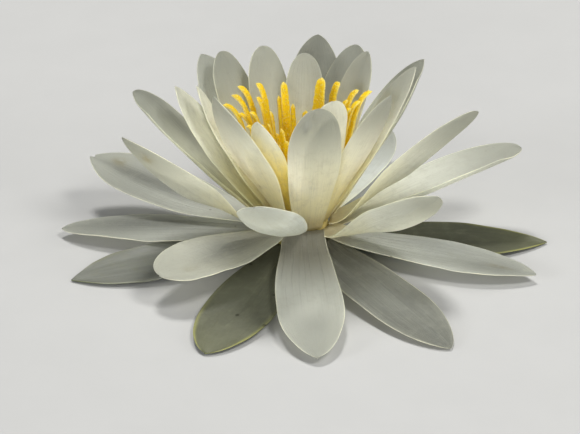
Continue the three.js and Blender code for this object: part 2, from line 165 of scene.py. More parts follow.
# glow: yellow at the base, partly the petal's own colour and partly painted light bounced from the
# stamens, or below 0 a painted brownish shadow at the base. cool: bluish body. dim: darker with painted
# shade, and on the sepals also with their own darker olive tissue, or below 0 a tip that stays pale, with
# less painted shade. veins: how much the
# lengthwise veins show. wave: ripple of the rim in millimetres.
LOOKS = {
    # glow, cool, dim, veins, wave
    "sepal_1": (-0.3, 0.0, 1.2, 0.5, 0.08),
    "sepal_2": (-0.6, 0.0, 0.95, 0.6, 0.1),
    "sepal_3": (0.0, 0.8, 0.9, 0.4, 0.2),
    "sepal_4": (0.0, 0.0, 0.6, 0.5, 0.15),
    "petal_1": (-1.0, 0.4, 0.3, 0.6, 0.08),
    "petal_2": (-1.3, 0.3, 1.0, 1.0, 0.1),
    "petal_3": (0.0, 0.6, 0.3, 0.5, 0.1),
    "petal_4": (0.0, 0.5, 0.3, 0.7, 0.15),
    "petal_5": (0.0, 0.5, 0.25, 0.3, 0.12),
    "petal_6": (0.1, 0.4, 0.0, 0.2, 0.06),
    "petal_7": (0.1, 0.9, 0.0, 0.3, 0.12),
    "petal_8": (0.1, 0.4, 0.1, 0.4, 0.12),
    "petal_9": (0.1, 0.4, 0.1, 0.4, 0.12),
    "petal_10": (-0.3, 0.0, 0.25, 0.4, 0.12),
    "petal_11": (0.0, 0.9, 0.0, 0.1, 0.08),
    "petal_12": (0.1, 0.4, 0.0, 0.2, 0.12),
    "petal_13": (0.3, 0.1, 0.1, 0.1, 0.08),
    "petal_14": (0.3, 0.2, 0.0, 0.3, 0.08),
    "petal_15": (0.3, 0.1, 0.2, 0.1, 0.08),
    "petal_16": (0.3, 0.3, 0.0, 0.3, 0.08),
    "petal_17": (0.3, 0.0, -0.45, 0.2, 0.08),
    "petal_18": (0.4, 0.6, -0.2, 0.3, 0.12),
    "petal_19": (0.3, 0.7, 0.7, 0.4, 0.12),
    "petal_20": (0.72, 0.1, -0.15, 0.3, 0.08),
    "petal_21": (0.5, 0.1, -0.2, 0.2, 0.08),
    "petal_22": (0.4, 0.0, -0.5, 0.2, 0.08),
    "petal_23": (0.62, 0.0, -0.1, 0.3, 0.12),
    "petal_24": (0.62, 0.0, -0.15, 0.3, 0.12),
    "petal_25": (0.45, 0.6, 0.1, 0.3, 0.12),
    "petal_26": (0.5, 0.0, 0.0, 0.2, 0.08),
    "petal_27": (0.4, 0.1, 0.12, 0.2, 0.08),
    "petal_28": (0.5, 0.0, -0.2, 0.3, 0.12),
    "petal_29": (1.0, 0.0, -0.5, 0.2, 0.08),
    "petal_30": (0.22, 0.1, 0.0, 0.2, 0.08),
    "petal_31": (1.9, 0.0, -0.5, 0.1, 0.08),
}

# Local dents and bulges: blade, share of the length, share across, their radii, height in millimetres.
DENTS = [
    ("petal_30", 0.87, -0.52, 0.05, 0.18, -1.3),
    ("petal_30", 0.93, -0.30, 0.035, 0.16, 0.7),
    ("petal_12", 0.74, -0.35, 0.08, 0.20, -0.6),
    ("petal_10", 0.80, 0.45, 0.14, 0.30, -0.3),
]

# Notches in the tip: blade, distance across, width, depth, all in millimetres.
NICKS = [("petal_5", -0.6, 0.35, 0.9)]

# Rims that turn up or down: blade, side, from and to shares of the length, share across where the turn
# starts, height in millimetres.
RIMS = [
    ("sepal_3", -1, 0.35, 0.95, 0.6, 0.8),
    ("petal_4", 1, 0.55, 0.98, 0.55, 0.5),
    ("petal_1", 1, 0.45, 0.9, 0.55, 0.5),
    ("petal_14", 1, 0.05, 0.97, 0.45, 0.9),
    ("petal_6", -1, 0.05, 0.95, 0.45, 1.0),
    ("petal_16", -1, 0.1, 0.97, 0.5, 0.8),
]

# Blades that bend sideways: how far the tip moves towards growing azimuth, in millimetres.
SWAYS = {"petal_20": -1.6, "petal_25": -1.1, "petal_1": 1.6, "petal_23": -0.6}

# Feet fitted to the receptacle's wall: height that the root gains, share of the claw's width added.
HEELS = {
    "sepal_2": (0.8, 0.3),
    "petal_1": (2.4, 0.25),
    "petal_2": (1.4, 0.3),
    "petal_3": (1.0, 0.3),
    "petal_10": (1.6, 0.3),
    "petal_11": (0.6, 0.2),
    "petal_12": (2.0, 0.5),
    "petal_15": (1.8, 0.6),
    "petal_26": (0.0, 0.35),
    "petal_30": (-0.8, 0.15),
}

# Boat-shaped tips: height that the margins gain over the middle, in millimetres.
KEELS = {"petal_1": 0.8, "petal_2": 0.3, "sepal_2": 0.3, "petal_12": 0.4}

# Soft greyer patches of painted shade: blade, share of the length, share across, their radii, strength.
SHADE_PATCHES = [
    ("petal_1", 0.70, 0.05, 0.10, 0.60, 0.3),
    ("petal_2", 0.45, -0.60, 0.35, 0.35, 0.45),
    ("petal_2", 0.15, 0.00, 0.18, 0.90, 0.6),
    ("petal_3", 0.60, 0.75, 0.30, 0.30, 0.3),
    ("petal_3", 0.85, 0.00, 0.10, 0.70, 0.4),
    ("petal_4", 0.72, -0.45, 0.26, 0.55, 0.7),
    ("petal_4", 0.42, -0.55, 0.20, 0.45, 0.6),
    ("petal_5", 0.80, -0.12, 0.17, 0.26, 0.7),
    ("petal_5", 0.52, -0.25, 0.22, 0.30, 0.75),
    ("petal_10", 0.40, -0.25, 0.26, 0.60, 0.8),
    ("petal_12", 0.88, 0.00, 0.12, 0.90, 0.3),
    ("petal_14", 0.70, -0.65, 0.35, 0.35, 0.6),
    ("petal_16", 0.85, 0.00, 0.15, 0.80, 0.3),
    ("petal_30", 0.87, -0.52, 0.03, 0.12, 0.4),
    ("sepal_3", 0.40, -0.40, 0.30, 0.50, 0.7),
]

# Brown stains and specks: blade, share of the length, share across, their radii, strength.
STAINS = [
    ("petal_13", 0.82, 0.1, 0.035, 0.3, 0.8),
    ("petal_5", 0.86, -0.45, 0.04, 0.2, 0.6),
    ("petal_3", 0.82, 0.1, 0.06, 0.12, 0.5),
    ("petal_10", 0.78, 0.2, 0.05, 0.12, 0.35),
    ("petal_27", 0.27, 0.0, 0.014, 0.07, 1.0),
]

# ---------------------------------------------------------------- fine form of the blades

BLADE_ROWS = 72
BLADE_COLUMNS = 36
ROWS_TOWARDS_TIP = 0.75  # share of the row spacing that closes up towards the tip
FINE_THICKNESS = 0.5
FINE_ROOT_THICKNESS = ROOT_THICKNESS * 0.8
FINE_EDGE = 0.05
EDGE_SHARPNESS = 7  # power of the distance from the midrib that the sheet thins out with
FINE_TIP_HALF_WIDTH = 0.15
CREASE_DEPTH = 0.14
CREASE_WIDTH = 0.1
PLEAT_DEPTH = 0.02
PLEATS = 3.2
BUCKLE = 0.16  # long low waves
BUCKLES = 1.4
BUCKLE_SLANT = 0.4
RIPPLES = 2.2  # along the rims
SMALL_RIPPLES = 5.3
SMALL_RIPPLE_SHARE = 0.4
RIPPLE_POWER = 2.5  # how closely the ripples keep to the rims
RIM_TURN_POWER = 1.6
WIDTH_UNEVENNESS = 0.012
WIDTH_WAVES = 2.1
HEEL_SHARE = 0.13  # share of the length that a heel takes up
HEEL_TUCK = 0.35  # how far a heel moves inwards, as a share of its climb

# Shares of the length between which a form grows or fades.
FULL_THICKNESS = (0, 0.3)
TIP_THINS = (0.9, 1)
CREASE_FADES = (0.5, 0.95)
PLEATS_GROW = (0.05, 0.3)
PLEATS_FADE = (0.75, 1)
BUCKLES_GROW = (0.2, 0.5)
RIPPLES_GROW = (0.3, 0.6)
KEELS_GROW = (0.68, 0.92)
NICKS_GROW = (0.9, 0.99)
RIM_TURN_GROWS_OVER = 0.2
RIM_TURN_FADES_OVER = 0.1


def smooth(x, low, high):
    t = np.clip((x - low) / (high - low), 0, 1)
    return t * t * (3 - 2 * t)


def mix(a, b, share):
    return a + (b - a) * share


def seat_of(tier):
    """Radius and height of a tier of seats on the receptacle's wall."""
    return FIRST_SEAT_RADIUS - tier * TIER_TAPER, FIRST_SEAT_HEIGHT + tier * TIER_STEP


def directions(azimuth):
    """Unit vectors outwards, sideways and up at an azimuth in degrees."""
    out = np.array([math.cos(math.radians(azimuth)), math.sin(math.radians(azimuth)), 0])
    return out, np.array([-out[1], out[0], 0]), np.array([0, 0, 1])


def marked(table, name, s, v, base=0.0):
    """base and a blade's soft round spots, from a table whose rows end with a height or strength."""
    total = base + np.zeros_like(s)
    for blade, at_s, at_v, radius_s, radius_v, strength in table:
        if blade == name:
            total += strength * np.exp(-(((s - at_s) / radius_s) ** 2) - ((v - at_v) / radius_v) ** 2)
    return total


def half_width(s, width, claw, widest, point):
    """Half-width of a blade at share s of its length."""
    opening = np.sin(np.pi / 2 * np.clip(s / widest, 0, 1)) ** CLAW_FLARE
    t = np.clip((s - widest) / (1 - widest), 0, 1)
    closing = np.maximum(FINE_TIP_HALF_WIDTH, width / 2 * (1 - t**END_FULLNESS) ** point)
    return np.where(s < widest, mix(claw / 2, width / 2, opening), closing)


def thickness_of(s, v):
    """Thickness of a blade, which thins out to its rims and its tip."""
    middle = mix(FINE_ROOT_THICKNESS, FINE_THICKNESS, smooth(s, *FULL_THICKNESS))
    tip = np.sqrt(1 - smooth(s, *TIP_THINS) ** 2)
    return mix(FINE_EDGE, middle, np.sqrt(np.clip(1 - np.abs(v) ** EDGE_SHARPNESS, 0, 1)) * tip)


def blade_relief(name, s, v, wave, seed):
    """Height of creases, pleats, ripples and dents over the plain cupped form, in millimetres."""
    rng = np.random.default_rng(seed)
    turn = rng.uniform(0, 2 * np.pi, 6)
    pace = rng.uniform(0.8, 1.25, 3)
    height = -CREASE_DEPTH * np.exp(-((v / CREASE_WIDTH) ** 2)) * (1 - smooth(s, *CREASE_FADES))
    middle = smooth(s, *PLEATS_GROW) * (1 - smooth(s, *PLEATS_FADE))
    height += PLEAT_DEPTH * np.cos(2 * np.pi * v * PLEATS + turn[0]) * middle
    buckles = 2 * np.pi * (BUCKLES * pace[0] * s + BUCKLE_SLANT * v) + turn[1]
    height += BUCKLE * np.sin(buckles) * smooth(s, *BUCKLES_GROW)
    for side in (-1, 1):
        rim = np.clip(side * v, 0, 1) ** RIPPLE_POWER * smooth(s, *RIPPLES_GROW)
        height += wave * rim * np.sin(2 * np.pi * RIPPLES * pace[1] * s + turn[3 + side])
        small = np.sin(2 * np.pi * SMALL_RIPPLES * pace[2] * s + turn[4])
        height += wave * SMALL_RIPPLE_SHARE * rim * small
    height = marked(DENTS, name, s, v, height)
    for blade, side, first, last, start, rise in RIMS:
        if blade == name:
            window = smooth(s, first, first + RIM_TURN_GROWS_OVER)
            window = window * (1 - smooth(s, last - RIM_TURN_FADES_OVER, last))
            height += rise * np.clip((side * v - start) / (1 - start), 0, 1) ** RIM_TURN_POWER * window
    height += KEELS.get(name, 0) * np.abs(v) * smooth(s, *KEELS_GROW)
    return height


def blade_sheet(name, row, look, seed):
    """Points of one blade, upper face first, and the values on them that its material reads."""
    tier, azimuth, rise, curl, length, width, claw, widest, point, cup, roll = row
    glow, cool, dim, veins, wave = look
    seat_radius, seat_height = seat_of(tier)
    x = np.linspace(0, 1, BLADE_ROWS + 1)
    s = mix(x, np.sin(np.pi / 2 * x), ROWS_TOWARDS_TIP)[:, None]
    v = np.sin(np.linspace(-1, 1, BLADE_COLUMNS + 1) * np.pi / 2)[None, :]
    s, v = np.broadcast_arrays(s, v)

    # The midrib is an arc of a circle.
    first = math.radians(rise - curl / 2)
    slope = first + math.radians(curl) * s
    radius = length / math.radians(curl)
    reach = seat_radius + SEAT_GAP + ROOT_THICKNESS / 2 + radius * (np.sin(slope) - math.sin(first))
    lift = seat_height + radius * (math.cos(first) - np.cos(slope))

    # side points across the blade and face out of its upper side.
    out, across, up = directions(azimuth)
    inward = -np.sin(slope)[..., None] * out + np.cos(slope)[..., None] * up
    along = np.cos(slope)[..., None] * out + np.sin(slope)[..., None] * up
    turn = (math.radians(roll) * smooth(s, 0, ROLL_REACHED))[..., None]
    side = across * np.cos(turn) + inward * np.sin(turn)
    face = inward * np.cos(turn) - across * np.sin(turn)

    # The cross-section is an arc whose length is the width.
    bend = math.radians(cup) * mix(CUP_AT_ENDS, 1, np.sin(np.pi * s))
    rng = np.random.default_rng(seed + 100)
    waves = np.sin(2 * np.pi * (WIDTH_WAVES * s + 0.2 * np.sign(v)) + rng.uniform(0, 6))
    uneven = 1 + WIDTH_UNEVENNESS * waves * np.abs(v)
    climb, flare = HEELS.get(name, (0, 0))
    arc = half_width(s, width, claw * (1 + flare), widest, point) / bend * uneven
    distance = arc * np.sin(bend * v)
    heel = np.clip(1 - s / HEEL_SHARE, 0, 1) ** 2
    at = (reach - HEEL_TUCK * abs(climb) * heel)[..., None] * out + (lift + climb * heel)[..., None] * up
    at = at + across * (SWAYS.get(name, 0) * s**2)[..., None]
    at = at + side * distance[..., None] + face * (arc * (1 - np.cos(bend * v)))[..., None]
    normal = face * np.cos(bend * v)[..., None] - side * np.sin(bend * v)[..., None]
    for blade, place, wide, depth in NICKS:
        if blade == name:
            notch = depth * np.exp(-(((distance - place) / wide) ** 2)) * smooth(s, *NICKS_GROW)
            at = at - along * notch[..., None]

    relief = blade_relief(name, s, v, wave, seed)
    thickness = thickness_of(s, v)
    upper = at + normal * (relief + thickness / 2)[..., None]
    lower = at + normal * (relief - thickness / 2)[..., None]
    points = np.concatenate([upper.reshape(-1, 3), lower.reshape(-1, 3)])

    count = s.size
    leaf = np.stack([v.ravel(), s.ravel(), np.full(count, seed * 3.7)], -1)
    values = {
        "leaf": np.tile(leaf, (2, 1)),
        "inner": np.concatenate([np.ones(count), np.zeros(count)]),
        "stain": np.tile(marked(STAINS, name, s, v).ravel(), 2),
        # patch carries the strength of the painted shade patches.
        "patch": np.tile(marked(SHADE_PATCHES, name, s, v).ravel(), 2),
        "tone": np.tile([glow, cool, dim], (2 * count, 1)),
        "veins": np.full(2 * count, veins),
    }
    return points, values


def sheet_faces(rows, columns):
    """Faces of a closed thin sheet whose upper grid comes first and whose lower grid follows."""
    half = (rows + 1) * (columns + 1)
    upper = np.arange(half).reshape(rows + 1, columns + 1)
    lower = upper + half
    faces = []

    def quads(a, b, c, d):
        faces.append(np.stack([a, b, c, d], -1).reshape(-1, 4))

    quads(upper[:-1, :-1], upper[1:, :-1], upper[1:, 1:], upper[:-1, 1:])
    quads(lower[:-1, :-1], lower[:-1, 1:], lower[1:, 1:], lower[1:, :-1])
    quads(upper[:-1, 0], lower[:-1, 0], lower[1:, 0], upper[1:, 0])
    quads(lower[:-1, -1], upper[:-1, -1], upper[1:, -1], lower[1:, -1])
    quads(lower[0, :-1], upper[0, :-1], upper[0, 1:], lower[0, 1:])
    quads(upper[-1, :-1], lower[-1, :-1], lower[-1, 1:], upper[-1, 1:])
    return np.concatenate(faces).tolist()


def make_piece(name, points, faces, material, slot, replaces, **attributes):
    """A smooth-shaded mesh object from millimetre points, riding on the root body."""
    mesh = bpy.data.meshes.new(name)
    mesh.from_pydata((points * MM).tolist(), [], faces)
    mesh.validate()
    for key, values in attributes.items():
        values = np.asarray(values, dtype=np.float32)
        kind = "FLOAT_VECTOR" if values.ndim == 2 else "FLOAT"
        layer = mesh.attributes.new(key, kind, "POINT")
        layer.data.foreach_set("vector" if values.ndim == 2 else "value", values.ravel())
    mesh.shade_smooth()
    mesh.materials.append(material)
    piece = bpy.data.objects.new(name, mesh)
    bpy.context.scene.collection.objects.link(piece)
    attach(piece, "root")
    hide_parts(replaces)


# ---------------------------------------------------------------- colours, as linear red, green, blue

IVORY = (0.955, 0.955, 0.86)
COOL_WHITE = (0.84, 0.885, 0.90)
CREAM = (0.98, 0.95, 0.66)
# Yellow partly of the petal's own base and partly painted light bounced from the stamens.
HEART_YELLOW_AND_BOUNCE = (1.0, 0.86, 0.20)
# Ochre at the very root: partly the root's own staining, partly painted shade.
ROOT_OCHRE_AND_SHADE = (0.58, 0.44, 0.16)
# Painted brownish shadow at the base of the low outer blades.
ROOT_SHADOW_BROWN = (0.20, 0.185, 0.13)
# Painted shade greying the tip.
TIP_SHADE_GREY = (0.34, 0.355, 0.325)
# Painted shade that dims a blade.
DIM_SHADE_GREY = (0.19, 0.198, 0.18)
# Patches of painted shade.
PATCH_SHADE_GREY = (0.16, 0.17, 0.16)
VEIN_GREY = (0.22, 0.23, 0.21)
FIBRE_GREY = (0.52, 0.54, 0.50)
MOTTLE_GREY = (0.50, 0.50, 0.45)
# Painted light along the thin rim.
RIM_LIGHT_CREAM = (0.99, 0.98, 0.80)
STAIN_BROWN = (0.27, 0.22, 0.08)
SPECK_BROWN = (0.12, 0.10, 0.06)
LIGHT_THROUGH_PETAL = (1.0, 0.98, 0.84)

SEPAL_FACE = (0.45, 0.46, 0.37)
# The sepal face's own dark olive, deepened by painted shade.
SEPAL_OLIVE_AND_SHADE = (0.06, 0.063, 0.04)
SEPAL_TIP = (0.15, 0.155, 0.08)
SEPAL_COOL = (0.15, 0.156, 0.14)
# Painted shadow at the sepal's base.
SEPAL_ROOT_SHADOW = (0.07, 0.07, 0.045)
SEPAL_BACK_DARK = (0.10, 0.14, 0.05)
SEPAL_BACK_PALE = (0.20, 0.22, 0.09)
# Patches of painted shade on the sepals.
SEPAL_PATCH_SHADE = (0.12, 0.125, 0.10)
SEPAL_VEIN = (0.10, 0.105, 0.07)
SEPAL_MOTTLE = (0.15, 0.155, 0.10)
SEPAL_EDGE = (0.30, 0.30, 0.09)
SEPAL_SPECK = (0.02, 0.018, 0.01)
LIGHT_THROUGH_SEPAL = (0.4, 0.5, 0.16)

STAMEN_FOOT_YELLOW = (1.0, 0.79, 0.03)
STAMEN_YELLOW = (1.0, 0.78, 0.02)
# Painted shade down the groove between the pollen ridges.
STAMEN_GROOVE_SHADE = (0.86, 0.50, 0.005)
POLLEN_ORANGE = (0.84, 0.47, 0.004)
POLLEN_YELLOW = (1.0, 0.92, 0.30)
# Painted light on the strap's edges and tip.
STAMEN_EDGE_LIGHT = (1.0, 0.93, 0.36)
LIGHT_THROUGH_STAMEN = (1.0, 0.84, 0.10)

STIGMA_GROOVE_ORANGE = (0.84, 0.52, 0.03)
STIGMA_RAY_YELLOW = (0.92, 0.72, 0.12)
STIGMA_SHADE = (0.62, 0.34, 0.01)
FLESH_GREEN = (0.34, 0.36, 0.10)
FLESH_OCHRE = (0.44, 0.35, 0.12)
FLESH_SHADE = (0.30, 0.25, 0.07)
CANAL_BROWN = (0.10, 0.08, 0.03)
FLOOR_GREY = (0.405, 0.405, 0.402)
FLOOR_PALE = (0.412, 0.412, 0.409)

# ---------------------------------------------------------------- materials

MIX_FACTOR = 0  # sockets of a Mix node that mixes colours
MIX_A = 6
MIX_B = 7
MIX_RESULT = 2


class Shader:
    """Builds one material out of nodes. Most calls add a node and give back its output."""

    def __init__(self, name):
        self.material = bpy.data.materials.new(name)
        self.material.use_nodes = True
        self.tree = self.material.node_tree
        self.tree.nodes.clear()
        self.output = self.tree.nodes.new("ShaderNodeOutputMaterial")

    def plug(self, socket, value):
        """Links a node's output to a socket, or sets a number or colour. None leaves it as it is."""
        if isinstance(value, bpy.types.NodeSocket):
            self.tree.links.new(value, socket)
        elif socket.type == "RGBA":
            socket.default_value = (*value, 1)
        elif value is not None:
            socket.default_value = value

    def node(self, kind, **settings):
        made = self.tree.nodes.new(kind)
        for key, value in settings.items():
            setattr(made, key, value)
        return made

    def attribute(self, name, output):
        return self.node("ShaderNodeAttribute", attribute_name=name).outputs[output]

    def split(self, vector):
        made = self.node("ShaderNodeSeparateXYZ")
        self.plug(made.inputs[0], vector)
        return made.outputs

    def join(self, x, y, z):
        made = self.node("ShaderNodeCombineXYZ")
        self.plug(made.inputs[0], x)
        self.plug(made.inputs[1], y)
        self.plug(made.inputs[2], z)
        return made.outputs[0]

    def math(self, operation, a, b=None, clamp=False):
        made = self.node("ShaderNodeMath", operation=operation, use_clamp=clamp)
        self.plug(made.inputs[0], a)
        self.plug(made.inputs[1], b)
        return made.outputs[0]

    def times(self, a, b):
        return self.math("MULTIPLY", a, b)

    def fade(self, value, low, high, first=0.0, last=1.0):
        """Goes smoothly from first at low to last at high."""
        made = self.node("ShaderNodeMapRange", interpolation_type="SMOOTHSTEP")
        self.plug(made.inputs["Value"], value)
        self.plug(made.inputs["From Min"], low)
        self.plug(made.inputs["From Max"], high)
        self.plug(made.inputs["To Min"], first)
        self.plug(made.inputs["To Max"], last)
        return made.outputs["Result"]

    def blend(self, share, a, b):
        """Colour a where share is 0, and b where it is 1 or more."""
        made = self.node("ShaderNodeMix", data_type="RGBA")
        self.plug(made.inputs[MIX_FACTOR], share)
        self.plug(made.inputs[MIX_A], a)
        self.plug(made.inputs[MIX_B], b)
        return made.outputs[MIX_RESULT]

    def noise(self, vector, scale, detail=3.0, roughness=0.55):
        made = self.node("ShaderNodeTexNoise")
        self.plug(made.inputs["Vector"], vector)
        self.plug(made.inputs["Scale"], scale)
        self.plug(made.inputs["Detail"], detail)
        self.plug(made.inputs["Roughness"], roughness)
        return made.outputs["Fac"]

    def spots(self, vector, scale, size):
        """1 inside small scattered round spots, 0 outside."""
        made = self.node("ShaderNodeTexVoronoi")
        self.plug(made.inputs["Vector"], vector)
        self.plug(made.inputs["Scale"], scale)
        return self.fade(made.outputs["Distance"], size, size * 0.6)

    def place(self):
        return self.node("ShaderNodeTexCoord").outputs["Object"]

    def bumped(self, height, strength, distance):
        made = self.node("ShaderNodeBump")
        self.plug(made.inputs["Strength"], strength)
        self.plug(made.inputs["Distance"], distance)
        self.plug(made.inputs["Height"], height)
        return made.outputs["Normal"]

    def finish(self, color, roughness, normal, specular, light_through=None, share_through=0.0):
        """The material with its surface, and with light passing through thin tissue if given."""
        skin = self.node("ShaderNodeBsdfPrincipled")
        self.plug(skin.inputs["Base Color"], color)
        self.plug(skin.inputs["Roughness"], roughness)
        self.plug(skin.inputs["Normal"], normal)
        self.plug(skin.inputs["Specular IOR Level"], specular)
        surface = skin.outputs[0]
        if light_through is not None:
            through = self.node("ShaderNodeBsdfTranslucent")
            self.plug(through.inputs["Color"], light_through)
            self.plug(through.inputs["Normal"], normal)
            both = self.node("ShaderNodeMixShader")
            self.plug(both.inputs[0], share_through)
            self.plug(both.inputs[1], surface)
            self.plug(both.inputs[2], through.outputs[0])
            surface = both.outputs[0]
        self.tree.links.new(surface, self.output.inputs["Surface"])
        return self.material


def vein_lines(shader, across, along, seed, how_many):
    """Thin lengthwise lines, 1 on a vein, that run together towards both ends of a blade."""
    course = shader.join(shader.times(across, 1.5), shader.times(along, 1.2), seed)
    shifted = shader.math("ADD", across, shader.times(shader.noise(course, 1.6, 2.0), 0.22))
    wave = shader.math("SINE", shader.times(shifted, how_many * math.pi))
    patch = shader.join(shader.times(across, 4.0), shader.times(along, 1.5), seed)
    present = shader.fade(shader.noise(patch, 1.5, 2.0), 0.38, 0.62)
    return shader.times(shader.fade(wave, 0.6, 1.0), present)


def fibres(shader, across, along, seed, how_many):
    """Noise drawn out along a blade."""
    streak = shader.join(shader.times(across, how_many), shader.times(along, 4.0), seed)
    return shader.noise(streak, 1.0)


def petal_material():
    shader = Shader("petal_tissue")
    across, along, seed = shader.split(shader.attribute("leaf", "Vector"))
    glow, cool, dim = shader.split(shader.attribute("tone", "Vector"))
    veins_shown = shader.attribute("veins", "Fac")
    place = shader.place()
    cloud = shader.noise(place, scale=110.0)

    # Ivory or cool white, and painted shade greying it towards the tip.
    body = shader.blend(cool, IVORY, COOL_WHITE)
    grey_by_glow = shader.fade(glow, -0.1, 0.25, 0.55, 1.0)
    grey_by_dim = shader.fade(dim, -0.5, 0.0, 0.2, 1.0)
    tip_shade = shader.times(grey_by_glow, grey_by_dim)
    tip = shader.times(shader.fade(along, 0.42, 0.95, 0.0, 0.95), tip_shade)
    body = shader.blend(tip, body, TIP_SHADE_GREY)

    # Cream and yellow from the root up to an uneven height, which glow raises. The yellow is partly the
    # petal's own and partly painted light bounced from the stamens.
    ended = shader.math("ADD", 0.25, shader.times(cloud, 0.5))
    ended = shader.math("ADD", ended, shader.times(glow, 0.25))
    warm = shader.fade(along, 0.02, ended, 1.0, 0.0)
    cream = shader.times(warm, shader.fade(glow, 0.0, 0.1, 0.1, 0.4))
    body = shader.blend(cream, body, CREAM)
    body = shader.blend(shader.math("MULTIPLY", warm, glow, clamp=True), body, HEART_YELLOW_AND_BOUNCE)

    # Painted shade that dims a blade, a painted brownish shadow at the base where glow is below 0, ochre
    # at the very root, partly its own staining and partly painted shade, and patches of painted shade.
    body = shader.blend(shader.times(dim, 0.85), body, DIM_SHADE_GREY)
    root_shadow = shader.times(shader.fade(along, 0.5, 0.06), shader.fade(glow, 0.0, -1.0))
    body = shader.blend(shader.times(root_shadow, 0.85), body, ROOT_SHADOW_BROWN)
    root = shader.times(shader.fade(along, 0.14, 0.03), shader.fade(glow, -0.1, 0.1, 0.0, 0.5))
    body = shader.blend(root, body, ROOT_OCHRE_AND_SHADE)
    body = shader.blend(shader.attribute("patch", "Fac"), body, PATCH_SHADE_GREY)

    # Veins, fibres and mottling.
    lines = vein_lines(shader, across, along, seed, how_many=10.0)
    shown = shader.times(shader.fade(along, 0.8, 0.25), veins_shown)
    lines = shader.times(lines, shown)
    body = shader.blend(shader.times(lines, 0.4), body, VEIN_GREY)
    fibre = fibres(shader, across, along, seed, how_many=30.0)
    body = shader.blend(shader.fade(fibre, 0.4, 0.75, 0.0, 0.3), body, FIBRE_GREY)
    mottle = shader.noise(place, scale=480.0, detail=4.0, roughness=0.7)
    body = shader.blend(shader.fade(mottle, 0.46, 0.7, 0.0, 0.3), body, MOTTLE_GREY)

    # A pale broken line along the rim, painted light of the thin edge, then stains and specks.
    rim = shader.fade(shader.math("ABSOLUTE", across), 0.965, 0.995)
    rim = shader.times(rim, shader.fade(cloud, 0.4, 0.62, 0.3, 0.85))
    body = shader.blend(rim, body, RIM_LIGHT_CREAM)
    stain = shader.times(shader.attribute("stain", "Fac"), shader.fade(mottle, 0.3, 0.55))
    body = shader.blend(stain, body, STAIN_BROWN)
    specks = shader.times(shader.spots(place, scale=130.0, size=0.07), shader.fade(cloud, 0.5, 0.6))
    specks = shader.times(specks, shader.fade(dim, 0.05, 0.3, 0.15, 0.8))
    body = shader.blend(specks, body, SPECK_BROWN)

    rough = shader.fade(cloud, 0.3, 0.7, 0.36, 0.5)
    relief = shader.math("ADD", shader.times(fibre, 0.6), shader.times(mottle, 0.5))
    relief = shader.math("SUBTRACT", relief, shader.times(lines, 0.5))
    normal = shader.bumped(relief, strength=0.8, distance=0.0004)
    through = shader.blend(0.5, body, LIGHT_THROUGH_PETAL)
    return shader.finish(body, rough, normal, 0.35, through, share_through=0.62)


def sepal_material():
    shader = Shader("sepal_tissue")
    across, along, seed = shader.split(shader.attribute("leaf", "Vector"))
    glow, cool, dim = shader.split(shader.attribute("tone", "Vector"))
    inner = shader.attribute("inner", "Fac")
    place = shader.place()
    cloud = shader.noise(place, scale=90.0)

    # The pale upper face, darkened by its own olive tissue and by painted shade, with a painted shadow at
    # the base, and the green back.
    face = shader.blend(dim, SEPAL_FACE, SEPAL_OLIVE_AND_SHADE)
    face = shader.blend(shader.fade(along, 0.6, 1.0, 0.0, 0.5), face, SEPAL_TIP)
    face = shader.blend(cool, face, SEPAL_COOL)
    root_shadow = shader.times(shader.fade(along, 0.5, 0.06), shader.fade(glow, 0.0, -1.0))
    face = shader.blend(shader.times(root_shadow, 0.7), face, SEPAL_ROOT_SHADOW)
    back = shader.blend(shader.fade(cloud, 0.35, 0.7), SEPAL_BACK_DARK, SEPAL_BACK_PALE)
    body = shader.blend(inner, back, face)
    # Patches of painted shade.
    body = shader.blend(shader.attribute("patch", "Fac"), body, SEPAL_PATCH_SHADE)

    # Veins and mottling.
    lines = vein_lines(shader, across, along, seed, how_many=9.0)
    body = shader.blend(shader.times(lines, 0.3), body, SEPAL_VEIN)
    mottle = shader.noise(place, scale=380.0, detail=4.0, roughness=0.6)
    body = shader.blend(shader.fade(mottle, 0.45, 0.75, 0.0, 0.35), body, SEPAL_MOTTLE)

    # A green uneven edge that grows towards the tip, and dark specks.
    margin = shader.math("ADD", shader.math("ABSOLUTE", across), shader.times(cloud, 0.12))
    edge = shader.times(shader.fade(margin, 0.9, 1.06), shader.fade(along, 0.5, 0.95, 0.1, 0.9))
    edge = shader.times(edge, shader.fade(cool, 0.0, 1.0, 1.0, 0.1))
    body = shader.blend(edge, body, SEPAL_EDGE)
    specks = shader.times(shader.spots(place, scale=150.0, size=0.11), shader.fade(cloud, 0.38, 0.48))
    body = shader.blend(specks, body, SEPAL_SPECK)

    rough = shader.fade(cloud, 0.3, 0.7, 0.36, 0.5)
    fibre = fibres(shader, across, along, seed, how_many=26.0)
    relief = shader.math("ADD", shader.times(fibre, 0.6), shader.times(mottle, 0.4))
    normal = shader.bumped(relief, strength=0.5, distance=0.0003)
    through = shader.blend(0.4, body, LIGHT_THROUGH_SEPAL)
    return shader.finish(body, rough, normal, 0.35, through, share_through=0.15)


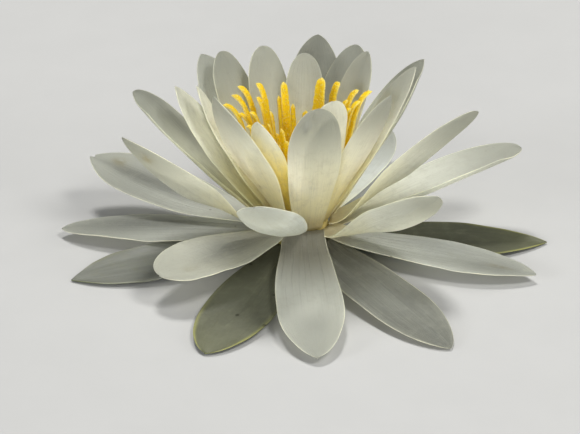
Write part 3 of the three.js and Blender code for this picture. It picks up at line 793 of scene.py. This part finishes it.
def stamen_material():
    shader = Shader("stamen_pollen")
    across, along, _ = shader.split(shader.attribute("leaf", "Vector"))
    place = shader.place()
    grain = shader.noise(place, scale=1500.0, detail=3.0, roughness=0.65)
    dots = shader.spots(place, scale=1500.0, size=0.42)
    body = shader.blend(shader.fade(along, 0.1, 0.7), STAMEN_FOOT_YELLOW, STAMEN_YELLOW)
    # Orange down the groove: painted shade.
    groove = shader.fade(shader.math("ABSOLUTE", across), 0.1, 0.5, 0.4, 0.0)
    body = shader.blend(groove, body, STAMEN_GROOVE_SHADE)
    body = shader.blend(shader.fade(grain, 0.44, 0.6, 0.0, 0.6), body, POLLEN_ORANGE)
    body = shader.blend(shader.times(dots, 0.75), body, POLLEN_YELLOW)
    # Paler yellow on the edges and tip: painted light.
    rim = shader.math("MAXIMUM", shader.fade(across, 0.75, 1.0), shader.fade(along, 0.93, 1.0))
    body = shader.blend(shader.times(rim, 0.8), body, STAMEN_EDGE_LIGHT)
    relief = shader.math("ADD", grain, dots)
    normal = shader.bumped(relief, strength=0.8, distance=0.0003)
    return shader.finish(body, 0.55, normal, 0.3, LIGHT_THROUGH_STAMEN, share_through=0.5)


def stigma_material():
    shader = Shader("stigma_disc")
    ray, _, _ = shader.split(shader.attribute("leaf", "Vector"))
    grain = shader.noise(shader.place(), scale=900.0, detail=4.0, roughness=0.6)
    body = shader.blend(ray, STIGMA_GROOVE_ORANGE, STIGMA_RAY_YELLOW)
    body = shader.blend(shader.fade(grain, 0.4, 0.7, 0.0, 0.4), body, STIGMA_SHADE)
    normal = shader.bumped(grain, strength=0.5, distance=0.0002)
    return shader.finish(body, 0.5, normal, 0.3)


def receptacle_material():
    shader = Shader("receptacle_flesh")
    _, height, canals = shader.split(shader.attribute("leaf", "Vector"))
    cloud = shader.noise(shader.place(), scale=220.0, detail=4.0, roughness=0.6)
    body = shader.blend(shader.fade(height, 1.0, 7.0), FLESH_GREEN, FLESH_OCHRE)
    body = shader.blend(shader.fade(cloud, 0.4, 0.7, 0.0, 0.5), body, FLESH_SHADE)
    body = shader.blend(canals, body, CANAL_BROWN)
    normal = shader.bumped(cloud, strength=0.6, distance=0.0006)
    return shader.finish(body, 0.5, normal, 0.3)


def floor_material():
    shader = Shader("pale_floor")
    grain = shader.noise(shader.place(), scale=60.0)
    body = shader.blend(shader.fade(grain, 0.3, 0.7), FLOOR_GREY, FLOOR_PALE)
    return shader.finish(body, 0.8, None, 0.2)


# ---------------------------------------------------------------- blades

petal_tissue = petal_material()
sepal_tissue = sepal_material()
blade_faces = sheet_faces(BLADE_ROWS, BLADE_COLUMNS)

for seed, (name, row) in enumerate(BLADES.items()):
    points, values = blade_sheet(name, row, LOOKS[name], seed)
    if name.startswith("sepal"):
        make_piece(name + "_fine", points, blade_faces, sepal_tissue, "sepal", name, **values)
    else:
        make_piece(name + "_fine", points, blade_faces, petal_tissue, "petal", name, **values)

# ---------------------------------------------------------------- stamens

STAMEN_RINGS = 40
STAMEN_SIDES = 20
STAMEN_RINGS_TOWARDS_TIP = 0.6
STAMEN_HALF_THICKNESS = 0.46
STAMEN_PLUMPNESS = 1.2
STAMEN_TIP_WIDTH = 0.62  # share of the width left at the tip, before it rounds off
STAMEN_ROUNDING_FROM = 0.9
STAMEN_BLUNTNESS = 0.96
STAMEN_SWAY = 0.5
STAMEN_SQUARENESS = 0.8
RIDGE_HEIGHT = 0.32
POLLEN_LUMPS = 0.045
POLLEN_FROM = 0.25  # share of the length where ridges and lumps begin
POLLEN_FULL = 0.5
COLLAR_SIDES = 96
FILLER_SCATTER = 2.4  # radians from the unevenness of one filler to that of the next


def stamen_tube(azimuth, reach, tip_height, width, seed):
    """A closed strap with two pollen ridges on its inner face, bending outwards to a round tip."""
    root = np.array([STAMEN_ROOT_RADIUS, NECK_HEIGHT - STAMEN_ROOT_DEPTH])
    tip = np.array([reach, tip_height])
    hooked = smooth(reach, STAMEN_STRAIGHT_REACH, STAMEN_HOOKED_REACH)
    splay = mix(root, tip, np.array([STAMEN_SPLAY_OUT, STAMEN_SPLAY_UP]))
    hook = mix(root, tip, np.array([STAMEN_HOOK_OUT, mix(STAMEN_STRAIGHT_UP, STAMEN_HOOK_UP, hooked)]))
    rng = np.random.default_rng(seed)
    x = np.linspace(0, 1, STAMEN_RINGS + 1)
    s = mix(x, np.sin(np.pi / 2 * x), STAMEN_RINGS_TOWARDS_TIP)[:, None]
    t = 1 - s
    place = t**3 * root + 3 * t**2 * s * splay + 3 * t * s**2 * hook + s**3 * tip
    course = t**2 * (splay - root) + 2 * t * s * (hook - splay) + s**2 * (tip - hook)
    course /= np.linalg.norm(course, axis=1, keepdims=True)

    out, across, up = directions(azimuth)
    centre = place[:, :1] * out + place[:, 1:] * up
    inward = -course[:, 1:] * out + course[:, :1] * up
    centre = centre + across * (rng.uniform(-STAMEN_SWAY, STAMEN_SWAY) * np.sin(np.pi * s) * s)
    end = np.sqrt(np.clip(1 - smooth(s, STAMEN_ROUNDING_FROM, 1.0) ** 2 * STAMEN_BLUNTNESS, 0, 1))
    half = width / 2 * STAMEN_PLUMPNESS * mix(STAMEN_FOOT_WIDTH, STAMEN_TIP_WIDTH, s**2) * end
    thick = STAMEN_HALF_THICKNESS * end

    angle = np.linspace(0, 2 * np.pi, STAMEN_SIDES, endpoint=False)[None, :]
    u, w = np.cos(angle), np.sin(angle)
    pollen = smooth(s, POLLEN_FROM, POLLEN_FULL)
    twin = 1 - RIDGE_HEIGHT * np.cos(2 * np.pi * u) * pollen * (w > 0)
    lumps = POLLEN_LUMPS * rng.standard_normal((STAMEN_RINGS + 1, STAMEN_SIDES)) * pollen
    depth = thick * np.sign(w) * np.abs(w) ** STAMEN_SQUARENESS * twin + lumps
    points = (
        centre[:, None, :]
        + across * (half * u * (1 + lumps))[..., None]
        + inward[:, None, :] * depth[..., None]
    )

    index = np.arange((STAMEN_RINGS + 1) * STAMEN_SIDES).reshape(STAMEN_RINGS + 1, STAMEN_SIDES)
    after = np.roll(index, -1, axis=1)
    faces = np.stack([index[:-1], after[:-1], after[1:], index[1:]], -1).reshape(-1, 4).tolist()
    faces += [index[0, ::-1].tolist(), index[-1].tolist()]
    ridge = np.broadcast_to(np.abs(u), index.shape)
    share = np.broadcast_to(s, index.shape)
    leaf = np.stack([ridge.ravel(), share.ravel(), np.full(index.size, seed * 1.3)], -1)
    return points.reshape(-1, 3), faces, leaf


def turned(outline, sides):
    """Points of a [radius, height] outline turned round Z, and the rings of their numbers."""
    angle = np.linspace(0, 2 * np.pi, sides, endpoint=False)
    points, rings = [], []
    for radius, height in outline:
        start = len(points)
        if radius == 0:
            points.append((0, 0, height))
            rings.append([start] * sides)
            continue
        points.extend((radius * math.cos(a), radius * math.sin(a), height) for a in angle)
        rings.append(list(range(start, start + sides)))
    return points, rings


def stitched(rings, closed):
    """Faces between neighbouring rings, and if closed between the last and the first."""
    faces = []
    following = rings[1:] + rings[:1] if closed else rings[1:]
    for low, high in zip(rings, following):
        for j in range(len(low)):
            k = (j + 1) % len(low)
            quad = [low[j], low[k], high[k], high[j]]
            face = [p for i, p in enumerate(quad) if p not in quad[:i]]
            if len(face) > 2:
                faces.append(face)
    return faces


def all_stamens():
    """The stamens that the photo shows, and the even rings of shorter ones between them."""
    rows = list(STAMENS)
    for count, first, reach, tip_height, width in FILLERS:
        for i in range(count):
            uneven = math.sin(i * FILLER_SCATTER + first)
            azimuth = first + 360 * i / count + FILLER_TURN * uneven
            rows.append((azimuth, reach, tip_height + FILLER_RISE * uneven, width))
    return rows


def stamen_piece():
    foot = FIRST_SEAT_HEIGHT + LAST_TIER * TIER_STEP + SHOULDER_ABOVE_SEAT + SEAT_GAP
    inner = NECK_RADIUS + SEAT_GAP
    outline = [
        (inner, foot),
        (COLLAR_OUTER - COLLAR_ROUNDING, foot),
        (COLLAR_OUTER, foot + COLLAR_ROUNDING),
        (COLLAR_OUTER, NECK_HEIGHT - COLLAR_ROUNDING),
        (COLLAR_OUTER - COLLAR_ROUNDING, NECK_HEIGHT),
        (inner, NECK_HEIGHT),
    ]
    collar, rings = turned(outline, COLLAR_SIDES)
    faces = stitched(rings, closed=True)
    points = [np.array(collar)]
    leaf = [np.zeros((len(collar), 3))]
    count = len(collar)
    for seed, (azimuth, reach, tip_height, width) in enumerate(all_stamens()):
        tube, tube_faces, tube_leaf = stamen_tube(azimuth, reach, tip_height, width, seed)
        faces.extend([p + count for p in face] for face in tube_faces)
        points.append(tube)
        leaf.append(tube_leaf)
        count += len(tube)
    return np.concatenate(points), faces, np.concatenate(leaf)


points, faces, leaf = stamen_piece()
make_piece("stamens_fine", points, faces, stamen_material(), "stamen", "stamens", leaf=leaf)

# ---------------------------------------------------------------- stigma and receptacle

SIDES_PER_RAY = 8
STIGMA_FINE_RINGS = 28
STIGMA_FIRST_RING = 0.04
STIGMA_UNDERSIDE = (0.93, 0.5)  # radii of the rings under the disc, as shares of its radius
STIGMA_KNOB = 1.1

RECEPTACLE_SIDES = 120
RECEPTACLE_STEP = 0.45
SKIN_DEPTH = 0.12  # how far the lumpy skin stays within the solid
KNOB_HEIGHT = 0.12
KNOBS_AROUND = 14
KNOB_SLANT = 2.2
KNOB_PITCH = 2.3
CANALS = 4
CANAL_PLACE = 1.6  # distance of the canals from the middle of the scar
CANAL_CORE = 0.6
CANAL_RADIUS = 0.95


def stigma_piece():
    underside = NECK_HEIGHT + SEAT_GAP
    bowl = underside + STIGMA_THICKNESS
    sides = STIGMA_RAYS * SIDES_PER_RAY
    angle = np.linspace(0, 2 * np.pi, sides, endpoint=False)
    ray = 0.5 + 0.5 * np.cos(STIGMA_RAYS * angle)
    points = [(0, 0, bowl + STIGMA_KNOB)]
    leaf = [(1, 0, 0)]
    rings = [[0] * sides]
    for share in np.linspace(STIGMA_FIRST_RING, 1, STIGMA_FINE_RINGS):
        lift = np.interp(share, STIGMA_RINGS, STIGMA_LIFT)
        groove = STIGMA_GROOVE * smooth(share, 0.1, 0.3) * (1 - ray)
        scallop = STIGMA_SCALLOP * (1 - ray) * smooth(share, 0.8, 1)
        radius = STIGMA_RADIUS * share * (1 - scallop)
        rings.append(list(range(len(points), len(points) + sides)))
        points.extend(zip(radius * np.cos(angle), radius * np.sin(angle), bowl + lift - groove))
        leaf.extend((r, share, 0) for r in ray)
    for share in STIGMA_UNDERSIDE:
        radius = STIGMA_RADIUS * share
        rings.append(list(range(len(points), len(points) + sides)))
        points.extend((radius * math.cos(a), radius * math.sin(a), underside) for a in angle)
        leaf.extend((0, share, 0) for _ in angle)
    rings.append([len(points)] * sides)
    points.append((0, 0, underside))
    leaf.append((0, 0, 0))
    faces = [face[::-1] for face in stitched(rings, closed=False)]
    return np.array(points, dtype=float), faces, np.array(leaf, dtype=float)


def receptacle_piece():
    last_radius, last_height = seat_of(LAST_TIER)
    shoulder = last_height + SHOULDER_ABOVE_SEAT
    # The solid's own outline: scar, bulge under the sepals, wall of seats, shoulder and neck.
    corners = [
        (0, 0),
        (SCAR_RADIUS, 0),
        (SCAR_RADIUS + SCAR_LIP, SCAR_LIP),
        (FIRST_SEAT_RADIUS - 1, FIRST_SEAT_HEIGHT - 1.6),
        (FIRST_SEAT_RADIUS, FIRST_SEAT_HEIGHT - 0.5),
        (FIRST_SEAT_RADIUS, FIRST_SEAT_HEIGHT),
        (last_radius, last_height),
        (last_radius - 0.35, shoulder - 0.25),
        (last_radius - 0.9, shoulder),
        (NECK_RADIUS, shoulder),
        (NECK_RADIUS, NECK_HEIGHT),
        (0, NECK_HEIGHT),
    ]
    outline = [corners[0]]
    for (r0, z0), (r1, z1) in zip(corners, corners[1:]):
        steps = max(1, round(math.hypot(r1 - r0, z1 - z0) / RECEPTACLE_STEP))
        outline.extend((mix(r0, r1, k / steps), mix(z0, z1, k / steps)) for k in range(1, steps + 1))
    points, rings = turned(outline, RECEPTACLE_SIDES)
    points = np.array(points, dtype=float)
    radius = np.hypot(points[:, 0], points[:, 1])
    angle = np.arctan2(points[:, 1], points[:, 0])
    height = points[:, 2]
    wall = smooth(height, 0.3, 1.5) * (1 - smooth(height, last_height, shoulder))
    rows = np.sin(KNOBS_AROUND * angle + KNOB_SLANT * height) * np.sin(height * KNOB_PITCH)
    knobs = KNOB_HEIGHT * rows * wall
    shrink = 1 - (SKIN_DEPTH + np.abs(knobs)) * wall / np.maximum(radius, 1)
    points[:, 0] *= shrink
    points[:, 1] *= shrink

    # The cut stalk shows wide air canals.
    canals = np.zeros(len(points))
    for k in range(CANALS):
        turn = math.radians(45 + 360 / CANALS * k)
        x = points[:, 0] - CANAL_PLACE * math.cos(turn)
        y = points[:, 1] - CANAL_PLACE * math.sin(turn)
        canals += 1 - smooth(np.hypot(x, y), CANAL_CORE, CANAL_RADIUS)
    canals *= height < 0.05
    leaf = np.stack([angle, height, canals], -1)
    return points, stitched(rings, closed=False), leaf


points, faces, leaf = stigma_piece()
make_piece("stigma_disc_fine", points, faces, stigma_material(), "stigma", "stigma_disc", leaf=leaf)

points, faces, leaf = receptacle_piece()
make_piece("receptacle_fine", points, faces, receptacle_material(), "receptacle", "receptacle", leaf=leaf)

# ---------------------------------------------------------------- floor, lights and camera

FLOOR_RADIUS = 3.0
FLOOR_SIDES = 96
LOOK_AT = Vector((0, 0, 0.018))

LAMPS = [
    # name, azimuth (0 in front of the bloom, 90 to its right), elevation, distance, size, power, colour
    ("key", 192, 64, 1.3, 0.3, 13, (1.0, 0.99, 0.96)),
    ("inside", 62, 56, 1.3, 0.4, 10, (1.0, 0.99, 0.95)),
    ("front", -8, 14, 1.4, 0.6, 7.5, (1.0, 1.0, 0.98)),
    ("right", 62, 14, 1.4, 0.6, 7, (0.98, 0.99, 1.0)),
    ("left", 300, 16, 1.4, 0.4, 8, (0.98, 0.99, 1.0)),
]
SKY_COLOR = (0.96, 0.98, 1.0, 1)
SKY_STRENGTH = 0.22

CAMERA_ELEVATION = math.radians(28)
CAMERA_DISTANCE = 1.0
SENSOR_WIDTH = 36
MM_ACROSS_VIEW = 155.4
AIM_LEFT = 3.2  # millimetres from the origin to the middle of the picture
AIM_UP = 7.8

mesh = bpy.data.meshes.new("floor")
angles = np.linspace(0, 2 * np.pi, FLOOR_SIDES, endpoint=False)
ring = [(FLOOR_RADIUS * math.cos(a), FLOOR_RADIUS * math.sin(a), 0) for a in angles]
mesh.from_pydata(ring, [], [list(range(FLOOR_SIDES))])
floor = bpy.data.objects.new("floor", mesh)
bpy.context.scene.collection.objects.link(floor)
mesh.materials.append(floor_material())


def area_lamp(name, azimuth, elevation, distance, size, power, color):
    """A soft round lamp aimed at the bloom."""
    a, e = math.radians(azimuth), math.radians(elevation)
    data = bpy.data.lights.new(name, "AREA")
    data.shape = "DISK"
    data.size = size
    data.energy = power
    data.color = color
    lamp = bpy.data.objects.new(name, data)
    away = Vector((math.sin(a) * math.cos(e), -math.cos(a) * math.cos(e), math.sin(e)))
    lamp.location = LOOK_AT + away * distance
    lamp.rotation_mode = "QUATERNION"
    lamp.rotation_quaternion = away.to_track_quat("Z", "Y")
    bpy.context.scene.collection.objects.link(lamp)


for lamp_row in LAMPS:
    area_lamp(*lamp_row)

world = bpy.data.worlds.new("studio")
bpy.context.scene.world = world
world.use_nodes = True
sky = world.node_tree.nodes["Background"]
sky.inputs["Color"].default_value = SKY_COLOR
sky.inputs["Strength"].default_value = SKY_STRENGTH

camera_data = bpy.data.cameras.new("camera")
camera_data.sensor_width = SENSOR_WIDTH
camera_data.lens = SENSOR_WIDTH * CAMERA_DISTANCE / (MM_ACROSS_VIEW * MM)
camera_data.clip_start = 0.05
camera_data.clip_end = 20
camera = bpy.data.objects.new("camera", camera_data)
back = Vector((0, -math.cos(CAMERA_ELEVATION), math.sin(CAMERA_ELEVATION)))
up = Vector((0, math.sin(CAMERA_ELEVATION), math.cos(CAMERA_ELEVATION)))
target = Vector((-AIM_LEFT * MM, 0, 0)) + up * AIM_UP * MM
camera.location = target + back * CAMERA_DISTANCE
camera.rotation_mode = "QUATERNION"
camera.rotation_quaternion = back.to_track_quat("Z", "Y")
bpy.context.scene.collection.objects.link(camera)
bpy.context.scene.camera = camera
bpy.context.scene.view_settings.view_transform = "Standard"
